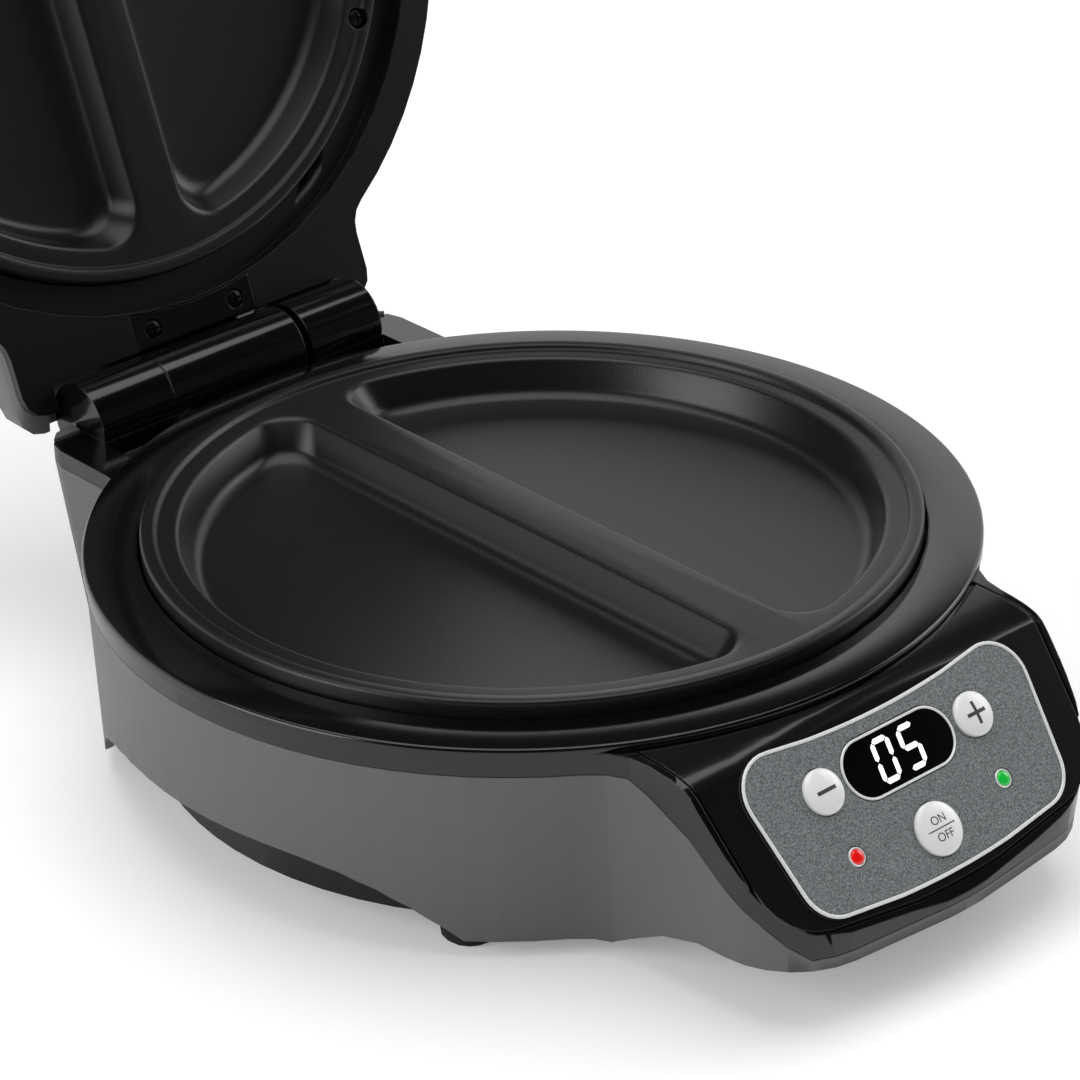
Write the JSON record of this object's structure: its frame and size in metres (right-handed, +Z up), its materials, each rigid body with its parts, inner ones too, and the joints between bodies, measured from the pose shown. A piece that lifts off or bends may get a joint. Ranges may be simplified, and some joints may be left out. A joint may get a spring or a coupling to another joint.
{
  "type": "omelette maker",
  "caption": "Round tabletop omelette maker with a hinged lid, half-moon wells in both plates and a sloping control panel with a display and buttons.",
  "frame": {"origin": "centre of the appliance with its lid open, on the surface it stands on", "axes": "+Z up, -Y towards the control panel, +X to the right as the user faces the panel"},
  "size_m": [0.2852, 0.4698, 0.3705],
  "materials": {
    "grey_plastic": "satin",
    "black_gloss": "gloss",
    "black_satin": "satin",
    "dark_pan": "matte",
    "fascia_gloss": "gloss",
    "panel_grey": "fine grain",
    "silver": "gloss",
    "window_black": "gloss",
    "module_white": "matte",
    "board_green": "satin",
    "lamp_red": "gloss",
    "lamp_green": "gloss",
    "non_stick": "satin non-stick coating",
    "element_steel": "matte",
    "shield_steel": "satin",
    "screw_steel": "satin",
    "rubber": "matte"
  },
  "bodies": {
    "base": {"top_cover": "black_gloss", "lower_housing": "grey_plastic", "bottom_cover": "dark_pan", "control_fascia": "fascia_gloss", "panel_overlay": "panel_grey", "panel_border": "silver", "display_bezel": "silver", "display_window": "window_black", "display_module": "module_white", "control_board": "board_green", "lamp_red": "lamp_red", "lamp_green": "lamp_green", "lower_plate": "non_stick", "lower_heating_element": "element_steel", "lower_heat_shield": "shield_steel", "thermostat": "module_white", "hinge_pin": "screw_steel", "cord_gland": "black_satin", "board_screw_left": "screw_steel", "lamp_bezel_left": "silver", "board_screw_right": "screw_steel", "lamp_bezel_right": "silver", "tact_switch_minus": "black_satin", "tact_switch_plus": "black_satin", "tact_switch_start": "black_satin", "lower_plate_screw_rear_right": "screw_steel", "housing_screw_rear_right": "screw_steel", "foot_rear_right": "rubber", "lower_plate_screw_rear_left": "screw_steel", "housing_screw_rear_left": "screw_steel", "foot_rear_left": "rubber", "lower_plate_screw_front_left": "screw_steel", "housing_screw_front_left": "screw_steel", "foot_front_left": "rubber", "lower_plate_screw_front_right": "screw_steel", "housing_screw_front_right": "screw_steel", "foot_front_right": "rubber"},
    "lid": {"lid_shell": "grey_plastic", "lid_frame": "black_satin", "upper_plate": "non_stick", "upper_heating_element": "element_steel", "upper_heat_shield": "shield_steel", "hinge_bracket": "black_gloss", "lid_handle": "black_satin", "upper_plate_screw_rear_right": "screw_steel", "upper_plate_screw_rear_left": "screw_steel", "upper_plate_screw_front_left": "screw_steel", "upper_plate_screw_front_right": "screw_steel", "bracket_screw_left": "screw_steel", "handle_screw_left": "screw_steel", "bracket_screw_right": "screw_steel", "handle_screw_right": "screw_steel"},
    "button_minus": {"button_minus": "silver"},
    "button_plus": {"button_plus": "silver"},
    "button_start": {"button_start": "silver"}
  },
  "joints": [
    {"name": "lid_hinge", "type": "hinge", "parent": "base", "child": "lid", "pos_m": [0, 0.10262, 0.0765], "axis": [1, 0, 0], "range_deg": [0, 110.35]},
    {"name": "button_minus_press", "type": "slide", "parent": "base", "child": "button_minus", "axis": [0, 0.7638, -0.6455], "range_m": [0, 0.001], "stiffness_N_per_m": 800, "springref_m": -0.0005},
    {"name": "button_plus_press", "type": "slide", "parent": "base", "child": "button_plus", "axis": [0, 0.7638, -0.6455], "range_m": [0, 0.001], "stiffness_N_per_m": 800, "springref_m": -0.0005},
    {"name": "button_start_press", "type": "slide", "parent": "base", "child": "button_start", "axis": [0, 0.7638, -0.6455], "range_m": [0, 0.001], "stiffness_N_per_m": 800, "springref_m": -0.0005}
  ]
}
